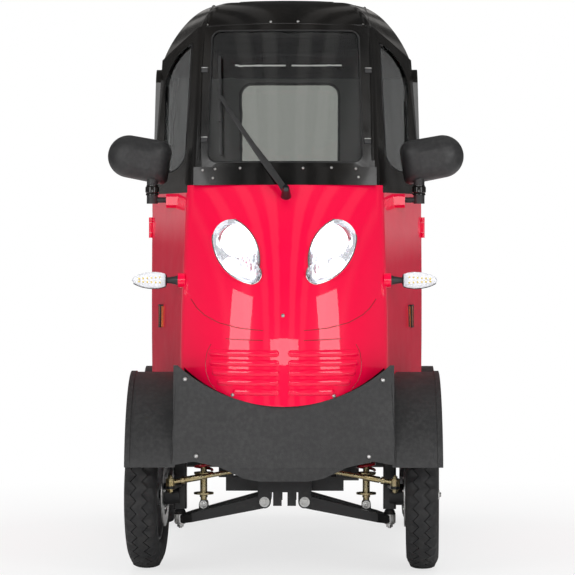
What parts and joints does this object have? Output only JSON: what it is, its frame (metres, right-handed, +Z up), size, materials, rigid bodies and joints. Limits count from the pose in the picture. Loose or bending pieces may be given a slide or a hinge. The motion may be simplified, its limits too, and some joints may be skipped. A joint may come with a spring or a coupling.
{
  "type": "moped car (enclosed four-wheel cabin scooter)",
  "caption": "Red and black enclosed moped car: hollow cabin, hinged doors and trunk lid, steered front wheels with open suspension",
  "frame": {"origin": "middle of the car's footprint, on the road", "axes": "+Z up, +Y to the rear, +X to the car's left"},
  "size_m": [1.022, 1.7, 1.6279],
  "materials": {
    "red_paint": "gloss red lacquer",
    "black_gloss": "gloss black moulding",
    "black_grained": "black grained plastic",
    "chassis_black": "black powder coat",
    "zinc_yellow": "yellow zinc plated steel",
    "steel": "bright steel",
    "spring_red": "red spring lacquer",
    "tyre": "black tread rubber",
    "alloy": "cast alloy",
    "glass": "tinted safety glass",
    "lens": "clear lens",
    "lens_amber": "amber lens",
    "lens_red": "red lens",
    "seat_cover": "black leatherette",
    "rubber": "black grip rubber",
    "mirror": "silvered glass"
  },
  "bodies": {
    "root": {"chassis_frame": "chassis_black", "suspension_arms": "chassis_black", "ball_joints": "steel", "dampers": "zinc_yellow", "coil_springs": "spring_red", "rear_axle": "chassis_black", "floor_pan": "black_grained", "seat_base": "black_grained", "battery_pack": "black_grained", "seat_cushion": "seat_cover", "seat_back": "seat_cover", "dashboard": "black_grained", "nose_panel": "red_paint", "front_side_panels": "red_paint", "front_mudguard": "black_grained", "rear_mudguard": "black_grained", "cowl": "black_gloss", "cabin_frame": "black_gloss", "roof_panel": "black_gloss", "windshield": "glass", "side_windows": "glass", "rear_window": "glass", "rear_body": "red_paint", "headlamps": "lens", "indicator_lamps": "lens", "side_markers": "lens_amber", "tail_lamps": "lens_red", "wiper": "black_grained", "mirrors": "black_grained", "mirror_glass": "mirror"},
    "handlebar": {"steering_column": "chassis_black", "handlebar_grips": "rubber"},
    "pitman": {"pitman_shaft": "chassis_black"},
    "knuckle_left": {"knuckle_left": "chassis_black"},
    "tie_rod_left": {"tie_rod_left": "zinc_yellow"},
    "door_left": {"door_panel_left": "red_paint", "door_frame_left": "black_gloss", "door_glass_left": "glass"},
    "wheel_front_left": {"tyre_front_left": "tyre", "rim_front_left": "alloy"},
    "wheel_rear_left": {"tyre_rear_left": "tyre", "rim_rear_left": "alloy"},
    "knuckle_right": {"knuckle_right": "chassis_black"},
    "tie_rod_right": {"tie_rod_right": "zinc_yellow"},
    "door_right": {"door_panel_right": "red_paint", "door_frame_right": "black_gloss", "door_glass_right": "glass"},
    "wheel_front_right": {"tyre_front_right": "tyre", "rim_front_right": "alloy"},
    "wheel_rear_right": {"tyre_rear_right": "tyre", "rim_rear_right": "alloy"},
    "trunk_lid": {"trunk_lid": "red_paint"}
  },
  "joints": [
    {"name": "steering", "type": "hinge", "parent": "root", "child": "handlebar", "pos_m": [0, -0.55, 0.425], "axis": [0, 0.5272, 0.8498], "range_deg": [-29, 35]},
    {"name": "pitman", "type": "hinge", "parent": "root", "child": "pitman", "pos_m": [0, -0.55, 0.3], "axis": [0, 0, 1], "range_deg": [-29, 35]},
    {"name": "kingpin_left", "type": "hinge", "parent": "root", "child": "knuckle_left", "pos_m": [0.295, -0.55, 0.208], "axis": [0, 0, 1], "range_deg": [-29, 35]},
    {"name": "tie_rod_left_end", "type": "hinge", "parent": "knuckle_left", "child": "tie_rod_left", "pos_m": [0.308, -0.64581, 0.25], "axis": [0, 0, 1], "range_deg": [-35, 29]},
    {"name": "wheel_front_left", "type": "hinge", "parent": "knuckle_left", "child": "wheel_front_left", "pos_m": [0.38787, -0.55487, 0.208], "axis": [0.9986, -0.0523, 0], "continuous": true},
    {"name": "wheel_rear_left", "type": "hinge", "parent": "root", "child": "wheel_rear_left", "pos_m": [0.412, 0.6, 0.208], "axis": [1, 0, 0], "continuous": true},
    {"name": "door_left", "type": "hinge", "parent": "root", "child": "door_left", "pos_m": [0.403, -0.147, 0.7], "axis": [0, 0, 1], "range_deg": [-65, 0]},
    {"name": "kingpin_right", "type": "hinge", "parent": "root", "child": "knuckle_right", "pos_m": [-0.295, -0.55, 0.208], "axis": [0, 0, 1], "range_deg": [-29, 35]},
    {"name": "tie_rod_right_end", "type": "hinge", "parent": "knuckle_right", "child": "tie_rod_right", "pos_m": [-0.31795, -0.64393, 0.25], "axis": [0, 0, 1], "range_deg": [-35, 29]},
    {"name": "wheel_front_right", "type": "hinge", "parent": "knuckle_right", "child": "wheel_front_right", "pos_m": [-0.38787, -0.54513, 0.208], "axis": [0.9986, -0.0523, 0], "continuous": true},
    {"name": "wheel_rear_right", "type": "hinge", "parent": "root", "child": "wheel_rear_right", "pos_m": [-0.412, 0.6, 0.208], "axis": [1, 0, 0], "continuous": true},
    {"name": "door_right", "type": "hinge", "parent": "root", "child": "door_right", "pos_m": [-0.403, -0.147, 0.7], "axis": [0, 0, 1], "range_deg": [0, 65]},
    {"name": "trunk_lid", "type": "hinge", "parent": "root", "child": "trunk_lid", "pos_m": [0, 0.812, 1.0325], "axis": [1, 0, 0], "range_deg": [0, 75]}
  ],
  "couplings": [
    {"joint": "pitman", "follows": "steering", "ratio": 1},
    {"joint": "kingpin_left", "follows": "steering", "ratio": 1},
    {"joint": "tie_rod_left_end", "follows": "steering", "ratio": -1},
    {"joint": "kingpin_right", "follows": "steering", "ratio": 1},
    {"joint": "tie_rod_right_end", "follows": "steering", "ratio": -1}
  ]
}
